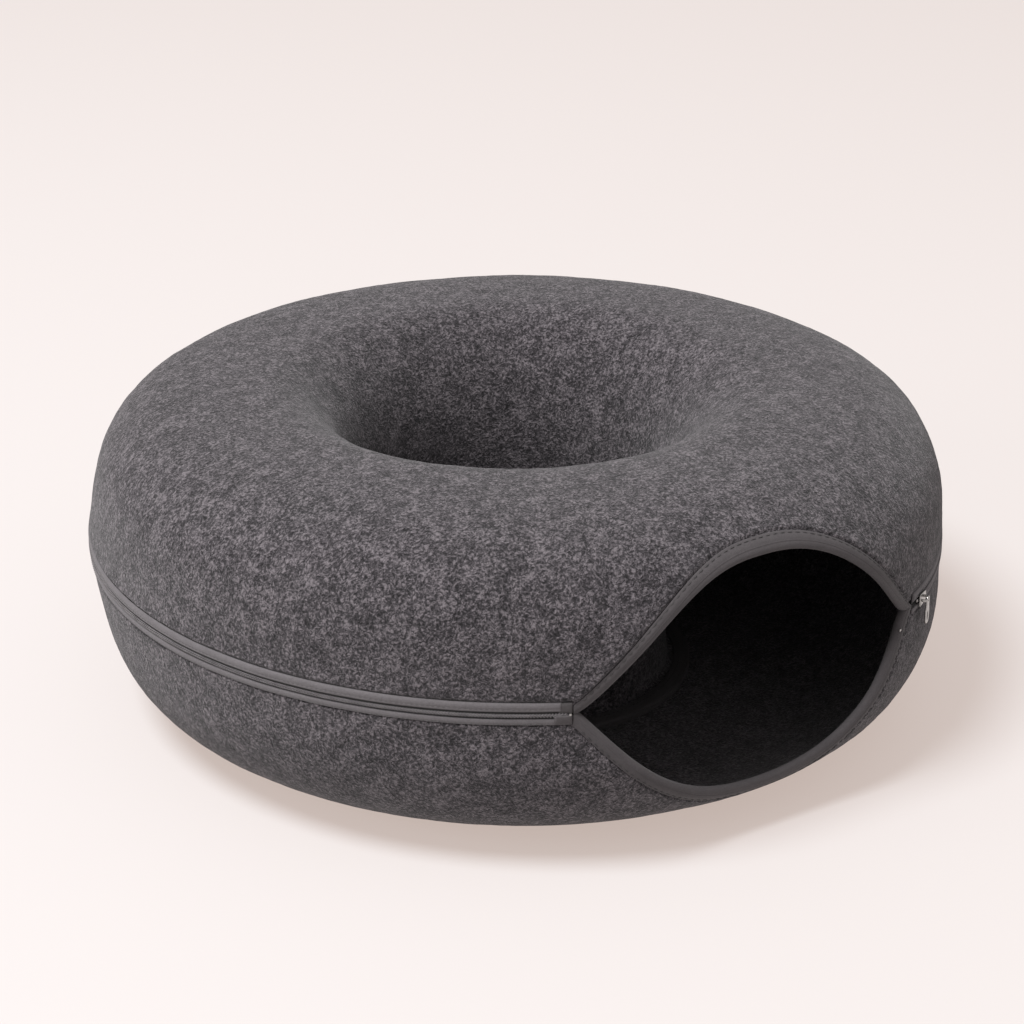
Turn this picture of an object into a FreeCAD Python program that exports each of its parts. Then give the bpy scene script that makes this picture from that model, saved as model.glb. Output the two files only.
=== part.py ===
"""Ring-shaped felt cat bed: a closed tunnel around a well, with a zip round its outside.

Millimetres and degrees.  +Z is up, the origin is on the ring's axis at the floor, and the
mouth faces -Y.  Azimuths are measured about +Z from -Y, positive towards +X.
"""
import FreeCAD, Part
import math
import os

# Driving dimensions of the ring.
OUTER_RADIUS = 300.0
HEIGHT = 222.0
ZIP_HEIGHT = 117.0
CROWN_RADIUS = 180.0
WELL_RADIUS = 107.0
WELL_WAIST = 112.0
BASE_RADIUS = 175.0
FELT = 4.5

# How square each quarter of the ring's section is: 2 is an ellipse.
SHOULDER_POWER = 3.0
WELL_POWER = 2.2
BELLY_POWER = 2.8
ROUND_POWER = 2.0
CURVE_STEPS = 14

# The mouth, an eye-shaped opening whose corners lie on the zip line.
MOUTH_HALF_WIDTH = 131.5
MOUTH_RISE = 78.5
MOUTH_DROP = 76.0
MOUTH_POWER = 2.4
UPPER_TAPER = 1.3
LOWER_TAPER = 1.1
CORNER_SPREAD = 1.3
LIP_STEPS = 24
WALL_REACH = 45.0

# Fabric binding folded over the mouth's edges, and the thread that holds it.
BINDING = 1.2
BINDING_WIDTH = 8.0
CORNER_GAP = 0.3
THREAD = 0.6
THREAD_HEIGHT = 0.4
SEAM_INSET = 1.5
MOUTH_STITCHES = 60
STITCH_SHARE = 0.75
STITCH_LIFT = 0.15
STITCH_START = 5.0

# Zip, as distances up and down from the zip line and thicknesses out from the felt.
FELT_GAP = 4.4
TAPE_INNER = 0.6
TAPE_OUTER = 9.0
TAPE = 0.6
COIL_INNER = 0.35
COIL_OUTER = 2.1
COIL = 1.8
STRIP_INNER = 3.2
STRIP_OUTER = 10.2
STRIP = 1.2
TAB = 1.0
TAB_TOP = 1.35
STOP_RISE = 0.5
STOP_TOP = 3.1
LOOSENESS = 0.1

# Where the parts of the zip end, as azimuths from the mouth's middle: the slider rests by the
# right corner, and the closed end is by the left corner.
BINDING_RIGHT = 27.9
BINDING_LEFT = 26.6
TAPE_RIGHT = 28.0
TAPE_LEFT = 26.7
TOP_STOP_START = 28.95
TOP_STOP_END = 29.4
BOTTOM_STOP_START = 26.75
BOTTOM_STOP_END = 27.2
COIL_RIGHT = 29.5
COIL_LEFT = 27.3
SLIDER_START = 29.6
SLIDER_SPAN = 2.3
UPPER_TAB_END = 28.3
LOWER_TAB_END = 29.0
LOWER_STOP_AZIMUTH = 24.2
LOWER_STOP_SPAN = 0.5
LOWER_STOP_HEIGHT = 2.2

# Slider, with its crown, and pull.
PLATE = 1.2
PLATE_HALF_WIDTH = 4.6
BACK_PLATE_HALF_WIDTH = 3.9
SLIDER_CLEARANCE = 0.3
FLANGE_INNER = 2.35
FLANGE_OUTER = 3.0
DIVIDER_HALF_WIDTH = 0.2
DIVIDER_SPAN = 0.5
CROWN_WINDOW = 2.4
CROWN_BAR = 1.5
CROWN_HALF_WIDTH = 0.9
CROWN_MARGIN = 0.3
CROWN_POST = 0.35
PULL_THICKNESS = 1.4
PULL_EYE_RADIUS = 1.5
PULL_NECK = 2.3
PULL_NECK_LENGTH = 6.5
PULL_HALF_WIDTH = 3.2
PULL_LENGTH = 18.0
PULL_SLOT_HALF_WIDTH = 1.2
PULL_SLOT_TOP = 9.5

# Seam between the well's wall and the floor, inside the tunnel.
WELL_BEND = 8.0
FOOT_WIDTH = 20.0
SEAM_TAPE = 1.0
SEAM_THREAD_RADIUS = 120.0

# Derived places.
TAPE_RADIUS = OUTER_RADIUS + TAPE
STRIP_RADIUS = TAPE_RADIUS + STRIP
COIL_RADIUS = TAPE_RADIUS + COIL
FRONT_PLATE_RADIUS = COIL_RADIUS + SLIDER_CLEARANCE
CROWN_BASE = FRONT_PLATE_RADIUS + PLATE
PIVOT_RADIUS = CROWN_BASE + CROWN_WINDOW + CROWN_BAR / 2
SLIDER_MIDDLE = SLIDER_START + SLIDER_SPAN / 2
FULL_TURN = 360.0
SAME_POINT = 1e-6


def vector(radius, height):
    """A point of the ring's section, in the XZ plane."""
    return FreeCAD.Vector(radius, 0, height)


def quarter(centre, reach, power, offset, start_height=0.0):
    """A quarter superellipse from its side to its top or bottom, moved out by offset."""
    start = math.asin((start_height / abs(reach[1])) ** (power / 2))
    points = []
    for step in range(CURVE_STEPS + 1):
        angle = start + (math.pi / 2 - start) * step / CURVE_STEPS
        across = math.cos(angle) ** (2 / power)
        along = math.sin(angle) ** (2 / power)
        slope = (across ** (power - 1) / reach[0], along ** (power - 1) / reach[1])
        length = math.hypot(*slope)
        radius = centre[0] + reach[0] * across + offset * slope[0] / length
        height = centre[1] + reach[1] * along + offset * slope[1] / length
        points.append(vector(radius, height))
    return points


def shoulder(offset, start_height=0.0):
    """The ring's outside from the zip line up to the crown."""
    centre = (CROWN_RADIUS, ZIP_HEIGHT)
    reach = (OUTER_RADIUS - CROWN_RADIUS, HEIGHT - ZIP_HEIGHT)
    return quarter(centre, reach, SHOULDER_POWER, offset, start_height)


def well_curve(offset):
    """The well's side from its waist up to the crown."""
    centre = (CROWN_RADIUS, WELL_WAIST)
    reach = (WELL_RADIUS - CROWN_RADIUS, HEIGHT - WELL_WAIST)
    return quarter(centre, reach, WELL_POWER, offset)


def belly(offset, start_height=0.0):
    """The ring's outside from the zip line down to the flat base."""
    centre = (BASE_RADIUS, ZIP_HEIGHT)
    reach = (OUTER_RADIUS - BASE_RADIUS, -ZIP_HEIGHT)
    return quarter(centre, reach, BELLY_POWER, offset, start_height)


def foot_bend(offset):
    """The round bend from the well's wall into its foot."""
    centre = (WELL_RADIUS + WELL_BEND, FELT + WELL_BEND)
    return quarter(centre, (-WELL_BEND, -WELL_BEND), ROUND_POWER, offset)


def spline(points):
    curve = Part.BSplineCurve()
    curve.interpolate(points)
    return curve.toShape()


def line(start, end):
    return Part.LineSegment(start, end).toShape()


def backwards(points):
    return points[::-1]


def chain(parts):
    """A closed face from lists of points, each drawn as a spline and joined by straight lines."""
    edges = []
    for points, following in zip(parts, parts[1:] + parts[:1]):
        if len(points) > 1:
            edges.append(spline(points))
        if (points[-1] - following[0]).Length > SAME_POINT:
            edges.append(line(points[-1], following[0]))
    return Part.Face(Part.Wire(edges))


def polygon(outline):
    """A face in the ring's section from (radius, height above the zip line) corners."""
    return chain([[vector(radius, ZIP_HEIGHT + height)] for radius, height in outline])


def turn(face, start=0.0, end=FULL_TURN):
    """The solid that a section sweeps between two azimuths."""
    axis = FreeCAD.Vector(0, 0, 1)
    solid = face.revolve(FreeCAD.Vector(), axis, end - start)
    solid.rotate(FreeCAD.Vector(), axis, start - 90)
    return solid


def band(low_radius, high_radius, low, high, start=0.0, end=FULL_TURN):
    """A ring sector with a rectangular section; heights are from the zip line."""
    corners = [(low_radius, low), (high_radius, low), (high_radius, high), (low_radius, high)]
    return turn(polygon(corners), start, end)


def mirrored(side, low, high):
    """A pair of heights above the zip line, or the same pair below it."""
    return (low, high) if side > 0 else (-high, -low)


def lip_height(side, across, offset=0.0):
    """How far the mouth reaches above or below the zip line, seen from the front."""
    reach, taper = (MOUTH_RISE, UPPER_TAPER) if side > 0 else (MOUTH_DROP, LOWER_TAPER)
    place = abs(across) / (MOUTH_HALF_WIDTH + CORNER_SPREAD * offset)
    return side * (reach + offset) * (1 - min(place, 1) ** MOUTH_POWER) ** taper


def lip_curve(side, offset):
    """The mouth's upper or lower edge seen from the front, moved into the felt by offset."""
    points = []
    for step in range(LIP_STEPS + 1):
        place = math.sin(math.pi * (step / LIP_STEPS - 0.5))
        across = (MOUTH_HALF_WIDTH + CORNER_SPREAD * offset) * place
        points.append(FreeCAD.Vector(across, 0, lip_height(side, across, offset)))
    return points


def lip_prism(side, offset):
    """Everything in front of the well that lies between the zip line and one lip."""
    face = chain([lip_curve(side, offset)])
    face.translate(FreeCAD.Vector(0, -OUTER_RADIUS - WALL_REACH, ZIP_HEIGHT))
    return face.extrude(FreeCAD.Vector(0, 3 * WALL_REACH, 0))


def upper_felt_shell():
    """Outer wall, crown and well wall, moulded in one, with a turned-out foot on the floor."""
    foot = WELL_RADIUS + FOOT_WIDTH
    section = [
        shoulder(0, FELT_GAP),
        backwards(well_curve(0)),
        foot_bend(0),
        [vector(foot, FELT)],
        [vector(foot, 2 * FELT)],
        backwards(foot_bend(-FELT)),
        well_curve(-FELT),
        backwards(shoulder(-FELT, FELT_GAP)),
    ]
    return turn(chain(section)).cut(lip_prism(1, BINDING))


def lower_felt_shell():
    """Outer wall and floor, a dish that also closes the well's bottom."""
    outside = backwards(belly(0, FELT_GAP))
    inside = belly(-FELT, FELT_GAP)
    face = chain([[vector(0, 0)], outside, inside, [vector(0, FELT)]])
    return turn(face).cut(lip_prism(-1, BINDING))


def lip_layer(side, low, high, near, far):
    """The part of a lip between two depths in the felt and two distances from its edge."""
    profile = shoulder if side > 0 else belly
    section = chain([profile(high, CORNER_GAP), backwards(profile(low, CORNER_GAP))])
    layer = turn(section, -BINDING_LEFT, BINDING_RIGHT)
    return layer.common(lip_prism(side, far)).cut(lip_prism(side, near))


def mouth_binding(side, felt):
    """Tape folded over the mouth's edge, one leg outside the felt and one inside."""
    return lip_layer(side, -FELT - BINDING, BINDING, 0, BINDING_WIDTH).cut(felt)


def on_felt(side, front_point, lift):
    """The point of the outside above or below the zip line that lies behind a front view point."""
    if side > 0:
        centre, rise, power = CROWN_RADIUS, HEIGHT - ZIP_HEIGHT, SHOULDER_POWER
    else:
        centre, rise, power = BASE_RADIUS, ZIP_HEIGHT, BELLY_POWER
    share = abs(front_point.z) / rise
    out = (1 - share ** power) ** (1 / power)
    radius = centre + (OUTER_RADIUS - centre) * out
    azimuth = math.asin(front_point.x / radius)
    outward = out ** (power - 1) / (OUTER_RADIUS - centre)
    upward = share ** (power - 1) / rise
    across = outward * math.sin(azimuth)
    normal = FreeCAD.Vector(across, -outward * math.cos(azimuth), side * upward)
    normal.normalize()
    height = ZIP_HEIGHT + front_point.z
    point = FreeCAD.Vector(front_point.x, -radius * math.cos(azimuth), height)
    return point + normal * lift, normal


def mouth_stitching(side):
    """The visible stitches of the mouth's topstitching, one short bar of thread each."""
    seam = spline(lip_curve(side, BINDING_WIDTH - SEAM_INSET))
    places = seam.discretize(Number=MOUTH_STITCHES + 1)
    left = -OUTER_RADIUS * math.sin(math.radians(BINDING_LEFT)) + THREAD
    places = [place for place in places if abs(place.z) > STITCH_START and place.x > left]
    stitches = []
    for first, second in zip(places, places[1:]):
        start, normal = on_felt(side, first, BINDING + STITCH_LIFT)
        end, _ = on_felt(side, second, BINDING + STITCH_LIFT)
        along = end - start
        length = STITCH_SHARE * along.Length
        bar = Part.makeBox(length, THREAD, THREAD_HEIGHT)
        bar.translate(FreeCAD.Vector(0, -THREAD / 2, 0))
        turned = FreeCAD.Rotation(along, FreeCAD.Vector(), normal, "XZY")
        bar.Placement = FreeCAD.Placement(start, turned)
        stitches.append(bar)
    return Part.makeCompound(stitches)


def zip_tape(side):
    low, high = mirrored(side, TAPE_INNER, TAPE_OUTER)
    return band(OUTER_RADIUS, TAPE_RADIUS, low, high, TAPE_RIGHT, FULL_TURN - TAPE_LEFT)


def zip_coil(side):
    low, high = mirrored(side, COIL_INNER, COIL_OUTER)
    return band(TAPE_RADIUS, COIL_RADIUS, low, high, COIL_RIGHT, FULL_TURN - COIL_LEFT)


def zip_strip(side):
    """Cover strip over the zip tape's edge, down to the felt beyond it."""
    outline = [
        (TAPE_RADIUS, side * STRIP_INNER),
        (STRIP_RADIUS, side * STRIP_INNER),
        (STRIP_RADIUS, side * STRIP_OUTER),
        (OUTER_RADIUS, side * STRIP_OUTER),
        (OUTER_RADIUS, side * TAPE_OUTER),
        (TAPE_RADIUS, side * TAPE_OUTER),
    ]
    return turn(polygon(outline), TAPE_RIGHT, FULL_TURN - TAPE_LEFT)


def zip_stitching(side):
    """Thread through strip, tape and felt: near the coil above it, near the felt below it."""
    seam = STRIP_INNER + SEAM_INSET if side > 0 else STRIP_OUTER - SEAM_INSET
    low, high = mirrored(side, seam - THREAD, seam)
    top = STRIP_RADIUS + THREAD_HEIGHT
    return band(STRIP_RADIUS, top, low, high, COIL_RIGHT, FULL_TURN - LOWER_TAB_END)


def upper_zip_end_tab():
    """Fabric patch over the end of the upper strip, beside the mouth's left corner."""
    start, end = FULL_TURN - UPPER_TAB_END, FULL_TURN - TAPE_LEFT
    return band(STRIP_RADIUS, STRIP_RADIUS + TAB, STRIP_INNER, STRIP_OUTER, start, end)


def lower_zip_end_tab():
    """Fabric patch over the end of the coils and of the lower strip."""
    over_coil = COIL_RADIUS + LOOSENESS
    outline = [
        (over_coil, TAB_TOP),
        (over_coil + TAB, TAB_TOP),
        (over_coil + TAB, -STRIP_INNER),
        (STRIP_RADIUS + TAB, -STRIP_INNER - TAB),
        (STRIP_RADIUS + TAB, -STRIP_OUTER),
        (STRIP_RADIUS, -STRIP_OUTER),
        (STRIP_RADIUS, -STRIP_INNER),
        (over_coil, -COIL_OUTER - LOOSENESS),
    ]
    return turn(polygon(outline), FULL_TURN - LOWER_TAB_END, FULL_TURN - COIL_LEFT)


def bottom_stop():
    """Metal clip that holds both coils together at the closed end of the zip."""
    start, end = FULL_TURN - BOTTOM_STOP_END, FULL_TURN - BOTTOM_STOP_START
    return band(TAPE_RADIUS, COIL_RADIUS + STOP_RISE, -COIL_OUTER, STOP_TOP, start, end)


def upper_top_stop():
    """Metal clip that keeps the slider off the mouth's right corner."""
    top = COIL_RADIUS + STOP_RISE
    return band(TAPE_RADIUS, top, COIL_INNER, STOP_TOP, TOP_STOP_START, TOP_STOP_END)


def lower_top_stop():
    """Metal clip on the end of the lower coil, caught in the lower lip's fold."""
    edge = lip_height(-1, OUTER_RADIUS * math.sin(math.radians(LOWER_STOP_AZIMUTH)))
    start = LOWER_STOP_AZIMUTH - LOWER_STOP_SPAN / 2
    face = OUTER_RADIUS + BINDING
    low = edge - LOWER_STOP_HEIGHT
    return band(face, face + TAB, low, edge, start, start + LOWER_STOP_SPAN)


def crown():
    """Arch on the slider's front plate, along the zip, that carries the pull."""
    top = CROWN_BASE + CROWN_WINDOW + CROWN_BAR
    half = CROWN_HALF_WIDTH
    start = SLIDER_START + CROWN_MARGIN
    end = SLIDER_START + SLIDER_SPAN - CROWN_MARGIN
    arch = band(FRONT_PLATE_RADIUS, top, -half, half, start, end)
    window_top = CROWN_BASE + CROWN_WINDOW
    return arch.cut(band(CROWN_BASE, window_top, -half, half, start + CROWN_POST, end - CROWN_POST))


def slider_body():
    """Two plates joined by a thin divider, with side flanges and a crown for the pull."""
    end = SLIDER_START + SLIDER_SPAN
    back_high = OUTER_RADIUS - SLIDER_CLEARANCE
    back_low = back_high - PLATE
    width = PLATE_HALF_WIDTH
    front = band(FRONT_PLATE_RADIUS, CROWN_BASE, -width, width, SLIDER_START, end)
    width = BACK_PLATE_HALF_WIDTH
    pieces = [crown(), band(back_low, back_high, -width, width, SLIDER_START, end)]
    width = DIVIDER_HALF_WIDTH
    divider_end = SLIDER_START + DIVIDER_SPAN
    pieces.append(band(back_low, CROWN_BASE, -width, width, SLIDER_START, divider_end))
    for side in (1, -1):
        low, high = mirrored(side, FLANGE_INNER, FLANGE_OUTER)
        flange_base = TAPE_RADIUS + SLIDER_CLEARANCE
        pieces.append(band(flange_base, CROWN_BASE, low, high, SLIDER_START, end))
    return front.fuse(pieces).removeSplitter()


def pull_disc(height, radius):
    start = FreeCAD.Vector(0, -PULL_THICKNESS / 2, height)
    return Part.makeCylinder(radius, PULL_THICKNESS, start, FreeCAD.Vector(0, 1, 0))


def pull_plate(half_width, low, high):
    plate = Part.makeBox(2 * half_width, PULL_THICKNESS, high - low)
    plate.translate(FreeCAD.Vector(-half_width, -PULL_THICKNESS / 2, low))
    return plate


def pull_tab():
    """Flat pull with an eye round the crown's bar, hanging straight down from it."""
    foot_centre = PULL_HALF_WIDTH - PULL_LENGTH
    pull = pull_disc(0, PULL_NECK).fuse([
        pull_plate(PULL_NECK, -PULL_NECK_LENGTH, 0),
        pull_plate(PULL_HALF_WIDTH, foot_centre, -PULL_NECK_LENGTH),
        pull_disc(foot_centre, PULL_HALF_WIDTH),
    ])
    slot = pull_plate(PULL_SLOT_HALF_WIDTH, foot_centre, -PULL_SLOT_TOP)
    pull = pull.cut([pull_disc(0, PULL_EYE_RADIUS), slot]).removeSplitter()
    pull.translate(FreeCAD.Vector(PIVOT_RADIUS, 0, ZIP_HEIGHT))
    pull.rotate(FreeCAD.Vector(), FreeCAD.Vector(0, 0, 1), SLIDER_MIDDLE - 90)
    return pull


def well_seam_binding():
    """Tape inside the tunnel that covers the edge of the well wall's foot."""
    edge = WELL_RADIUS + FOOT_WIDTH
    start = WELL_RADIUS + WELL_BEND + SEAM_TAPE
    top = 2 * FELT + SEAM_TAPE
    outline = [
        (start, 2 * FELT),
        (edge, 2 * FELT),
        (edge, FELT),
        (edge + SEAM_TAPE, FELT),
        (edge + SEAM_TAPE, top),
        (start, top),
    ]
    return turn(chain([[vector(*corner)] for corner in outline]))


def well_seam_stitching():
    base = 2 * FELT + SEAM_TAPE - ZIP_HEIGHT
    inner = SEAM_THREAD_RADIUS
    return band(inner, inner + THREAD, base, base + THREAD_HEIGHT)


def build():
    parts = {"upper_felt_shell": upper_felt_shell(), "lower_felt_shell": lower_felt_shell()}
    for side, name in ((1, "upper"), (-1, "lower")):
        felt = parts[name + "_felt_shell"]
        parts[name + "_mouth_binding"] = mouth_binding(side, felt)
        parts[name + "_mouth_stitching"] = mouth_stitching(side)
        parts[name + "_zip_strip"] = zip_strip(side)
        parts[name + "_zip_stitching"] = zip_stitching(side)
        parts[name + "_zip_tape"] = zip_tape(side)
        parts[name + "_zip_coil"] = zip_coil(side)
    parts["upper_zip_end_tab"] = upper_zip_end_tab()
    parts["lower_zip_end_tab"] = lower_zip_end_tab()
    parts["bottom_stop"] = bottom_stop()
    parts["upper_top_stop"] = upper_top_stop()
    parts["lower_top_stop"] = lower_top_stop()
    parts["slider_body"] = slider_body()
    parts["pull_tab"] = pull_tab()
    parts["well_seam_binding"] = well_seam_binding()
    parts["well_seam_stitching"] = well_seam_stitching()
    return parts


os.makedirs("parts", exist_ok=True)
for node, shape in build().items():
    print(node, shape.isValid(), len(shape.Solids), shape.Volume)
    shape.exportStep(os.path.join("parts", node + ".step"))
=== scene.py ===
"""The looks of a ring-shaped felt cat bed: felt shells, bound mouth, coil zip, slider and pull.

Metres.  +Z is up, the origin is on the ring's axis at the floor, and the mouth faces -Y.
Azimuths are in degrees about +Z from -Y, positive towards +X.  A side is 1 for the upper
half of the bed and -1 for the lower half.
"""
import math

import bpy
import numpy as np
from mathutils import Matrix, Vector


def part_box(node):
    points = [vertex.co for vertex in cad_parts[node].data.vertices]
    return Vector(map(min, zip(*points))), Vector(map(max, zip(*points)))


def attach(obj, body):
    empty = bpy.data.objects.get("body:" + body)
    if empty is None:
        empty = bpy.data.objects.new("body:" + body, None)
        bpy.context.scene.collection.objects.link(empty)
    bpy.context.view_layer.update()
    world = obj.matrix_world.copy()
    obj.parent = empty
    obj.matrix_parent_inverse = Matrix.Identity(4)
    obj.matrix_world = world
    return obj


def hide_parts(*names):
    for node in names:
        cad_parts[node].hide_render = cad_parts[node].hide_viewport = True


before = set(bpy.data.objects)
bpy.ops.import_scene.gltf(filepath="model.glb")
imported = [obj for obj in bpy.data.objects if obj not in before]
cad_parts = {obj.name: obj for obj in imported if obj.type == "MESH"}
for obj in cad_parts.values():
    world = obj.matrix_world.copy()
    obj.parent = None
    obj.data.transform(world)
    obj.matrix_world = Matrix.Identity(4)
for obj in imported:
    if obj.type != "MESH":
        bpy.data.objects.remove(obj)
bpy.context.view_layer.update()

MM = 0.001
SIDES = {1: "upper", -1: "lower"}

# The ring, as packed where a node's box gives the size.
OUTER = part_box("upper_zip_tape")[1].x - 0.6 * MM
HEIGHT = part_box("upper_felt_shell")[1].z
ZIP = (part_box("upper_zip_coil")[0].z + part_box("lower_zip_coil")[1].z) / 2
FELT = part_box("upper_felt_shell")[0].z
CROWN = 180 * MM
WELL = 107 * MM
WELL_WAIST = 112 * MM
WELL_BEND = 8 * MM
FOOT_WIDTH = 20 * MM
BASE = 175 * MM

# Felt: its spacing of mesh points, how far it bulges to one side, and how far it puffs up.
FINE_TURN = 0.2
COARSE_TURN = 0.5
FINE_AZIMUTH = 34.0
ROW = 1.9 * MM
SWELL = {1: 2.2 * MM, -1: 4.9 * MM}
SWELL_AZIMUTH = 8.0
PUFF = {1: 1.9 * MM, -1: 1.2 * MM}

# The mouth and its binding.
MOUTH_HALF_WIDTH = 131.5 * MM
MOUTH_REACH = {1: 78.5 * MM, -1: 76 * MM}
MOUTH_TAPER = {1: 1.3, -1: 1.1}
MOUTH_POWER = 2.4
CORNER_SPREAD = 1.3
BINDING = 1.2 * MM
BINDING_WIDTH = 8 * MM
BINDING_RIGHT = 27.9
BINDING_LEFT = 26.6
LIP_COLUMNS = 320
SEAM_INSET = 1.2 * MM
MOUTH_STITCHES = 60

# The zip: heights from the zip line and lifts off the felt's face.
FELT_GAP = 4.4 * MM
TAPE = 0.6 * MM
TAPE_INNER = 0.6 * MM
STRIP_OUTER = {1: 8.8 * MM, -1: 6.9 * MM}
COIL_REACH = 1.4 * MM
COIL_LOCK = 0.25 * MM
COIL = 1.8 * MM
COIL_WIRE = 0.31 * MM
TOOTH = 2.0 * MM
TAPE_RIGHT = 28.0
TAPE_LEFT = 26.7
TOP_STOP = 29.18
BOTTOM_STOP = 26.98
COIL_RIGHT = 29.5
COIL_LEFT = 27.3
UPPER_TAB_END = 28.2
LOWER_TAB_END = 28.9
ZIP_STITCH = 3.3 * MM
THREAD = 0.26 * MM

# The slider and its pull, as packed.
SLIDER_START = 29.6
SLIDER_SPAN = 2.3
SLIDER = SLIDER_START + SLIDER_SPAN / 2
SLIDER_LENGTH = math.radians(SLIDER_SPAN) * OUTER
PLATE = 1.2 * MM
FRONT_PLATE = 2.7 * MM
BACK_PLATE = -1.5 * MM
PIVOT = 7.05 * MM
PULL_LENGTH = 18 * MM
LOWER_STOP = 24.2

# The camera, round the ring's axis and in terms of the ring.
CAMERA_AZIMUTH = -33.51
CAMERA_ELEVATION = 27.2
CAMERA_DISTANCE = 6.434 * OUTER
CAMERA_TILT = 24.02
CAMERA_ROLL = 0.36
CAMERA_LENS = 92.25
CAMERA_SHIFT = (-0.0034, 0.0029)


# ---------------------------------------------------------------- the ring's section

class Quarter:
    """A quarter superellipse of the section, from its side (angle 0) to its top or bottom."""

    def __init__(self, centre, reach, power):
        self.centre = centre
        self.reach = reach
        self.power = power
        self.angles = np.linspace(0, math.pi / 2, 2001)
        radius, height, _, _ = self.at_angle(self.angles)
        steps = np.hypot(np.diff(radius), np.diff(height))
        self.lengths = np.concatenate([[0], np.cumsum(steps)])
        self.length = self.lengths[-1]

    def at_angle(self, angle):
        across = np.maximum(np.cos(angle), 0) ** (2 / self.power)
        along = np.maximum(np.sin(angle), 0) ** (2 / self.power)
        out = across ** (self.power - 1) / self.reach[0]
        up = along ** (self.power - 1) / self.reach[1]
        size = np.hypot(out, up)
        radius = self.centre[0] + self.reach[0] * across
        height = self.centre[1] + self.reach[1] * along
        return radius, height, out / size, up / size

    def at_length(self, length):
        return self.at_angle(np.interp(length, self.lengths, self.angles))

    def length_at_height(self, rise):
        """How far along the curve the section has risen, or sunk, by this much."""
        share = np.clip(rise / abs(self.reach[1]), 0, 1)
        return np.interp(np.arcsin(share ** (self.power / 2)), self.angles, self.lengths)

    def at_height(self, rise):
        return self.at_length(self.length_at_height(rise))


SHOULDER = Quarter((CROWN, ZIP), (OUTER - CROWN, HEIGHT - ZIP), 3.0)
BELLY = Quarter((BASE, ZIP), (OUTER - BASE, -ZIP), 2.8)
WELL_SIDE = Quarter((CROWN, WELL_WAIST), (WELL - CROWN, HEIGHT - WELL_WAIST), 2.2)
FOOT_BEND = Quarter((WELL + WELL_BEND, FELT + WELL_BEND), (-WELL_BEND, -WELL_BEND), 2.0)
OUTSIDE = {1: SHOULDER, -1: BELLY}


def place(azimuth, radius, height):
    """Points from azimuths in degrees, radii and heights."""
    turn = np.radians(azimuth)
    flat = 0 * radius * turn
    return np.stack([radius * np.sin(turn), -radius * np.cos(turn), height + flat], -1)


def on_zip(along, rise, lift):
    """Points near the zip: azimuths, heights from the zip line, lifts off the felt."""
    return place(along, OUTER + lift, ZIP + rise)


def lip_rise(side, across, offset=0.0):
    """How far from the zip line the mouth reaches, seen from the front, widened by offset."""
    share = np.abs(across) / (MOUTH_HALF_WIDTH + CORNER_SPREAD * offset)
    reach = MOUTH_REACH[side] + offset
    return reach * (1 - np.minimum(share, 1) ** MOUTH_POWER) ** MOUTH_TAPER[side]


def lip_rise_at(side, azimuth, offset):
    """The same for azimuths, which takes the section's radius at that height."""
    rise = np.zeros_like(azimuth)
    for _ in range(20):
        radius = OUTSIDE[side].at_height(rise)[0]
        across = radius * np.abs(np.sin(np.radians(azimuth)))
        rise = np.where(np.abs(azimuth) < 90, lip_rise(side, across, offset), 0)
    return rise


def mouth_distance(side, points, furthest=80 * MM):
    """Roughly how far each point of the outside is from the mouth's edge."""
    rise = np.abs(points[..., 2] - ZIP)
    near = np.zeros_like(rise)
    far = np.full_like(rise, furthest)
    for _ in range(24):
        middle = (near + far) / 2
        inside = lip_rise(side, points[..., 0], middle) > rise
        far = np.where(inside, middle, far)
        near = np.where(inside, near, middle)
    return np.where(points[..., 1] < 0, far, furthest)


def swell(side, azimuth, rise, height):
    """How far the ring bulges on one side, and draws in opposite it, away from zip and floor."""
    lean = np.cos(np.radians(azimuth - SWELL_AZIMUTH))
    return SWELL[side] * lean * smooth(rise / (50 * MM)) * smooth((height - FELT) / (36 * MM))


def on_outside(side, across, rise, lift):
    """Points of the ring's outside seen from the front at across and rise, and normals."""
    radius, height, out, up = OUTSIDE[side].at_height(rise)
    azimuth = np.degrees(np.arcsin(np.clip(across / radius, -1, 1)))
    lift = lift + swell(side, azimuth, rise, height)
    points = place(azimuth, radius + lift * out, height + lift * up)
    return points, place(azimuth, out, up)


# ---------------------------------------------------------------- noise and meshes

LATTICE = np.random.default_rng(7).uniform(-1, 1, 4096)


def soft_noise(points, size, seed=0):
    """Smooth noise from -1 to 1, with lumps of about that size."""
    cells = points / size + 31.7 * seed
    base = np.floor(cells).astype(np.int64)
    part = cells - base
    part = part * part * (3 - 2 * part)
    total = np.zeros(points.shape[:-1])
    for corner in np.ndindex(2, 2, 2):
        cell = base + np.array(corner)
        key = cell[..., 0] * 73856093 ^ cell[..., 1] * 19349663 ^ cell[..., 2] * 83492791
        weight = np.where(corner, part, 1 - part).prod(-1)
        total += weight * LATTICE[key & 4095]
    return total


def smooth(value):
    value = np.clip(value, 0, 1)
    return value * value * (3 - 2 * value)


def lengths(points):
    """How far along each row of points each point lies, starting from 0."""
    steps = np.linalg.norm(np.diff(points, axis=-2), axis=-1)
    start = np.zeros(steps.shape[:-1] + (1,))
    return np.concatenate([start, np.cumsum(steps, -1)], -1)


def new_object(name, mesh):
    piece = bpy.data.objects.new(name, mesh)
    bpy.context.scene.collection.objects.link(piece)
    return piece


def grid_faces(rows, columns, closed):
    """The faces of a grid of points, whose rows and columns may be closed loops."""
    row = np.arange(rows if closed[0] else rows - 1)
    column = np.arange(columns if closed[1] else columns - 1)
    first, second = np.meshgrid(row, column, indexing="ij")
    corners = [(first, second), (first + 1, second), (first + 1, second + 1), (first, second + 1)]
    numbers = [(a % rows) * columns + b % columns for a, b in corners]
    return np.stack(numbers, -1).reshape(-1, 4), corners


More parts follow.
